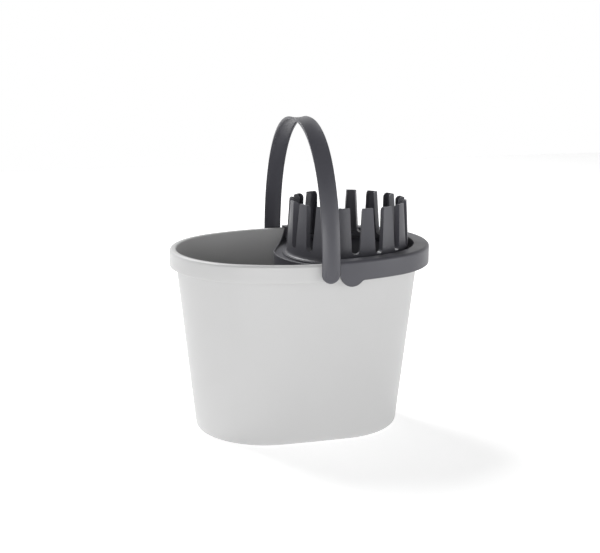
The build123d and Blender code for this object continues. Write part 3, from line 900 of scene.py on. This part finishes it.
def spin(turn):
    """Matrix that turns rows of points about Z by an angle towards +Y."""
    return np.array([[cos(turn), sin(turn), 0], [-sin(turn), cos(turn), 0], [0, 0, 1]])


def polar(radius, angle, z):
    """Points about the basket's axis from radius, angle and height, all broadcast together."""
    radius, angle, z = np.broadcast_arrays(radius, angle, z)
    return np.stack([radius * np.cos(angle), radius * np.sin(angle), z], axis=-1)


def finger_patches(finger):
    """Grids of one finger: outer face, slot sides, pocket sides, web, edges, pocket floor and top."""
    basket = finger.size
    foot = finger.slot_foot - basket["slot_foot"] / 2 * np.cos(arc(0, 90, 10))
    shank = np.linspace(finger.slot_foot, finger.round_foot, 14)[1:]
    tip = finger.round_foot + basket["tip_radius"] * np.sin(arc(0, 90, 9)[1:])
    z = np.concatenate([foot, shank, tip])
    outer, inner = finger.outside(z), finger.inside(z)
    web = outer - basket["web"]
    side = np.linspace(0, 1, 7)
    patches = [polar(outer[:, None], finger.columns(z, outer), z[:, None])]
    slot_radius = outer[:, None] + (inner - outer)[:, None] * side
    slot_angle = finger.slot_side(z[:, None], slot_radius)
    pocket_radius = inner[:, None] + np.maximum(web - inner, 0)[:, None] * side
    pocket_angle = finger.pocket_side(z[:, None], pocket_radius)
    strip_slot, strip_pocket = finger.slot_side(z, inner)[:, None], finger.pocket_side(z, inner)[:, None]
    strip = strip_pocket + (strip_slot - strip_pocket) * np.linspace(0, 1, 3)
    for hand in (-1, 1):
        patches.append(polar(slot_radius, hand * slot_angle, z[:, None]))
        patches.append(polar(pocket_radius, hand * pocket_angle, z[:, None]))
        patches.append(polar(inner[:, None], hand * strip, z[:, None]))
    across = np.linspace(-1, 1, 9)
    patches.append(polar(web[:, None], finger.pocket_side(z, web)[:, None] * across, z[:, None]))
    floor_radius = pocket_radius[0][:, None]
    patches.append(polar(floor_radius, finger.pocket_side(z[0], floor_radius) * across, z[0]))
    top_radius = np.array([outer[-1], web[-1]])
    crown = np.full(2, finger.top)
    patches.append(polar(top_radius[:, None], finger.columns(crown, top_radius), finger.top))
    rest = np.array([web[-1], inner[-1]])
    slot_rest, pocket_rest = finger.slot_side(crown, rest)[:, None], finger.pocket_side(crown, rest)[:, None]
    for hand in (-1, 1):
        angles = pocket_rest + (slot_rest - pocket_rest) * np.linspace(0, 1, 3)
        patches.append(polar(rest[:, None], hand * angles, finger.top))
    return patches


def ring_patches(finger):
    """Grids of one sector below the slots: outside down to the cup's foot, and inside back up to the ring."""
    basket = finger.size
    tray = BASKET_LOW.z + basket["cup_depth"]
    foot, flange = basket["foot_radius"], (BASKET_HIGH.x - BASKET_LOW.x) / 2
    level, fillet, wall = tray + basket["flange_thickness"], basket["fillet"], basket["cup_wall"]
    mouth, cup, low = foot - basket["web"] - wall, basket["cup_radius"], BASKET_LOW.z
    outside = [(foot, z) for z in np.linspace(finger.pocket_foot, level + fillet, 5)]
    outside += [(foot + fillet * (1 - cos(a)), level + fillet * (1 - sin(a))) for a in arc(0, 90, 8)[1:]]
    outside += [(flange - 0.7, level), (flange - 0.2, level - 0.2), (flange, level - 0.7)]
    outside += [(flange, tray + 0.5), (flange - 0.5, tray), (mouth + 0.3, tray)]
    outside += [(mouth + (cup - mouth) * s, tray + (low - tray) * s) for s in np.linspace(0.02, 0.96, 16)]
    floor_radius = cup - 5
    outside += [(cup + 0.1, low + 1.2), (cup - 1.2, low + 0.15), (cup - 2.6, low)]
    outside += [(floor_radius, low), (floor_radius, low + wall)]
    inside = [(floor_radius, low + wall), (cup - 4.2, low + wall), (cup - 3.0, low + wall + 0.3)]
    inside += [
        (mouth - wall + (cup - mouth) * s, tray + (low + wall - tray) * s) for s in np.linspace(0.97, 0, 16)
    ]
    web, edge = foot - basket["web"], foot - basket["depth"]
    ledge = finger.slot_foot - basket["slot_foot"]
    inside += [(web, tray + web - mouth + wall), (web, ledge - 0.8), (web - 0.8, ledge), (edge + 0.6, ledge)]
    inside += [(edge, ledge + 0.6), (edge, finger.pocket_foot)]
    patches = []
    for path, radius in ((outside, foot), (inside, edge)):
        path = np.array(path)
        fixed = finger.columns(np.array([finger.pocket_foot]), np.array([radius]))
        even = np.linspace(-finger.half_pitch, finger.half_pitch, fixed.shape[1])
        close = np.where(np.isclose(path[:, 0], floor_radius), 1.0, 0.0)[:, None]
        patches.append(polar(path[:, :1], fixed + (even - fixed) * close, path[:, 1:]))
    return patches


def drain_floor(basket):
    """The cup's floor: rings of 6, 12 and 18 cells, each a plate with a round hole, blended to its outline.

    A cell's point is its hole's rim mixed with its outline, so neighbours share their outlines' points.
    """
    shape = Shape()
    hole, pitch, soft = basket["drain_radius"], basket["drain_pitch"], 0.4
    low, high = BASKET_LOW.z + 0.02, BASKET_LOW.z + basket["cup_wall"] - 0.02
    bounds = (0.5 * pitch, 1.5 * pitch, 2.5 * pitch, basket["cup_radius"] - 4.4)
    sides = 5
    for ring, (inward, outward) in enumerate(((2, 4), (2, 3), (2, 3))):
        count, middle = 6 * (ring + 1), pitch * (ring + 1)
        half = pi / count
        near, far = bounds[ring], bounds[ring + 1]
        radius = np.concatenate(
            [np.full(outward, far), np.linspace(far, near, sides + 1)[:-1], np.full(inward, near)]
            + [np.linspace(near, far, sides + 1)[:-1]]
        )
        angle = np.concatenate(
            [np.linspace(-half, half, outward + 1)[:-1], np.full(sides, half)]
            + [np.linspace(half, -half, inward + 1)[:-1], np.full(sides, -half)]
        )
        outline = np.stack([radius * np.cos(angle), radius * np.sin(angle)], axis=-1)
        way = np.arctan2(outline[:, 1], outline[:, 0] - middle)
        rim = np.stack([middle + hole * np.cos(way), hole * np.sin(way)], axis=-1)
        rows = [at_level(rim + (outline - rim) * share, high) for share in (1, 0.5, 0.1)]
        rows += [at_level(rim, high - soft), at_level(rim, low + soft)]
        rows += [at_level(rim + (outline - rim) * share, low) for share in (0.1, 0.5, 1)]
        cell = np.stack(rows)
        for turn in 2 * half * np.arange(count):
            shape.grid(cell @ spin(turn), close_columns=True)
    hub = np.linspace(-pi / 6, 2 * pi - pi / 6, 12, endpoint=False)
    shape.lids(np.stack([polar(bounds[0], hub, high), polar(bounds[0], hub, low)]))
    rim = np.linspace(-pi / 18, 2 * pi - pi / 18, 54, endpoint=False)
    shape.grid(np.stack([polar(bounds[3], rim, high), polar(bounds[3], rim, low)]), close_columns=True)
    return shape


class BUCKET_OT_basket(bpy.types.Operator):
    """Make the wringing basket: tapered channel fingers on a flanged, drained cup"""

    bl_idname = "bucket.basket"
    bl_label = "Wringer Basket"

    def execute(self, context):
        basket = sizes(context.scene.bucket_basket)
        finger = Finger(basket)
        centre = np.array([(BASKET_LOW.x + BASKET_HIGH.x) / 2, 0, 0])
        shape = Shape()
        patches = finger_patches(finger) + ring_patches(finger)
        for turn in 2 * finger.half_pitch * np.arange(basket["fingers"]):
            for patch in patches:
                shape.grid(patch @ spin(turn) + centre)
        plastic = dark_plastic(sizes(context.scene.bucket_handle))
        piece = shape.build("basket", plastic)
        soften = piece.modifiers.new("soft_edges", "BEVEL")
        soften.width, soften.segments, soften.limit_method = basket["softening"] * MM, 2, "ANGLE"
        soften.angle_limit = radians(50)
        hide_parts("wringer_basket")
        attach(piece, "wringer_body")
        floor = drain_floor(basket)
        floor.points = [part + centre for part in floor.points]
        piece = floor.build("drain_floor", plastic)
        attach(piece, "wringer_body")
        return {"FINISHED"}


# ------------------------------------------------------------------ stage


LAMPS = (  # name, place and size in metres, watts
    ("key_softbox", (-1.0, -2.5, 0.38), 1.0, 19),
    ("fill_softbox", (2.2, -1.5, 0.42), 1.0, 11),
    ("back_softbox", (-0.7, 1.5, 2.1), 1.3, 62),
)
LAMP_AIM = Vector((0, 0, 0.2))


def add_table(scene, studio):
    """The light table that the bucket stands on."""
    half = studio["table_reach"] * MM
    board = bpy.data.meshes.new("studio_floor")
    corners = [(-half, -half, 0), (half, -half, 0), (half, half, 0), (-half, half, 0)]
    board.from_pydata(corners, [], [(0, 1, 2, 3)])
    board.materials.append(light_table(studio["table_colour"], studio["glow"]))
    floor = bpy.data.objects.new("studio_floor", board)
    scene.collection.objects.link(floor)


def add_tent(scene, studio):
    """The light tent: white up to a little above the horizon, then fading to the zenith."""
    world = bpy.data.worlds.new("Studio Air")
    world.use_nodes = True
    tent = world.node_tree
    place = add_node(tent, "ShaderNodeTexCoord")
    parts = add_node(tent, "ShaderNodeSeparateXYZ", (), [("Vector", place, "Generated")])
    fade = add_node(
        tent,
        "ShaderNodeMapRange",
        {"From Min": 0.16, "From Max": 0.7, "To Min": 1.0, "To Max": studio["zenith"]},
        [("Value", parts, "Z")],
    )
    tent.links.new(fade.outputs["Result"], tent.nodes["Background"].inputs["Strength"])
    tent.nodes["Background"].inputs["Color"].default_value = (1, 1, 1, 1)
    scene.world = world


def add_lamps(scene):
    """The softboxes, each turned to the aim."""
    for name, place, size, power in LAMPS:
        lamp = bpy.data.lights.new(name, "AREA")
        lamp.energy, lamp.size = power, size
        holder = bpy.data.objects.new(name, lamp)
        holder.location = place
        holder.rotation_euler = (LAMP_AIM - Vector(place)).to_track_quat("-Z", "Y").to_euler()
        scene.collection.objects.link(holder)


def add_camera(scene, studio):
    """The camera, placed by azimuth, elevation and distance, then turned, tilted and rolled by its aim."""
    turn, rise = studio["azimuth"], studio["elevation"]
    back = Vector((-sin(turn) * cos(rise), -cos(turn) * cos(rise), sin(rise)))
    spot = Vector((0, 0, studio["aim_height"])) + back * studio["distance"]
    turn, rise = turn + studio["aim_turn"], rise + studio["aim_tilt"]
    ahead = Vector((sin(turn) * cos(rise), cos(turn) * cos(rise), -sin(rise)))
    right = ahead.cross(Vector((0, 0, 1))).normalized()
    up = right.cross(ahead)
    tilt = studio["roll"]
    level_right = cos(tilt) * right + sin(tilt) * up
    level_up = cos(tilt) * up - sin(tilt) * right
    lens = bpy.data.cameras.new("camera")
    lens.lens, lens.sensor_width, lens.clip_end = studio["lens"], 36, 50
    camera = bpy.data.objects.new("camera", lens)
    facing = Matrix((level_right, level_up, -ahead)).transposed().to_4x4()
    camera.matrix_world = Matrix.Translation(spot * MM) @ facing
    scene.collection.objects.link(camera)
    scene.camera = camera


class BUCKET_OT_studio(bpy.types.Operator):
    """Make the light table, the light tent, the soft lights and the camera"""

    bl_idname = "bucket.studio"
    bl_label = "Studio"

    def execute(self, context):
        studio = sizes(context.scene.bucket_studio)
        add_table(context.scene, studio)
        add_tent(context.scene, studio)
        add_lamps(context.scene)
        add_camera(context.scene, studio)
        context.scene.view_settings.view_transform = "Standard"
        return {"FINISHED"}


class BUCKET_PT_panel(bpy.types.Panel):
    """Lists the pieces of the bucket"""

    bl_label = "Mop Bucket"
    bl_idname = "BUCKET_PT_panel"
    bl_space_type = "VIEW_3D"
    bl_region_type = "UI"
    bl_category = "Bucket"

    def draw(self, context):
        for step in STEPS:
            self.layout.operator(step.bl_idname)


GROUPS = {
    "bucket_pail": PailSettings,
    "bucket_handle": HandleSettings,
    "bucket_collar": CollarSettings,
    "bucket_basket": BasketSettings,
    "bucket_studio": StudioSettings,
}
STEPS = (BUCKET_OT_pail, BUCKET_OT_handle, BUCKET_OT_collar, BUCKET_OT_basket, BUCKET_OT_studio)


def register():
    """Register the classes and hang the settings on the scene."""
    for made in (*GROUPS.values(), *STEPS, BUCKET_PT_panel):
        bpy.utils.register_class(made)
    for name, group in GROUPS.items():
        setattr(bpy.types.Scene, name, bpy.props.PointerProperty(type=group))


def unregister():
    """Take the settings off the scene and the classes out again."""
    for name in GROUPS:
        delattr(bpy.types.Scene, name)
    for made in (BUCKET_PT_panel, *STEPS[::-1], *list(GROUPS.values())[::-1]):
        bpy.utils.unregister_class(made)


def main():
    """Build every piece and the stage."""
    register()
    bpy.ops.bucket.pail()
    bpy.ops.bucket.handle()
    bpy.ops.bucket.collar()
    bpy.ops.bucket.basket()
    bpy.ops.bucket.studio()


if __name__ == "__main__":
    main()
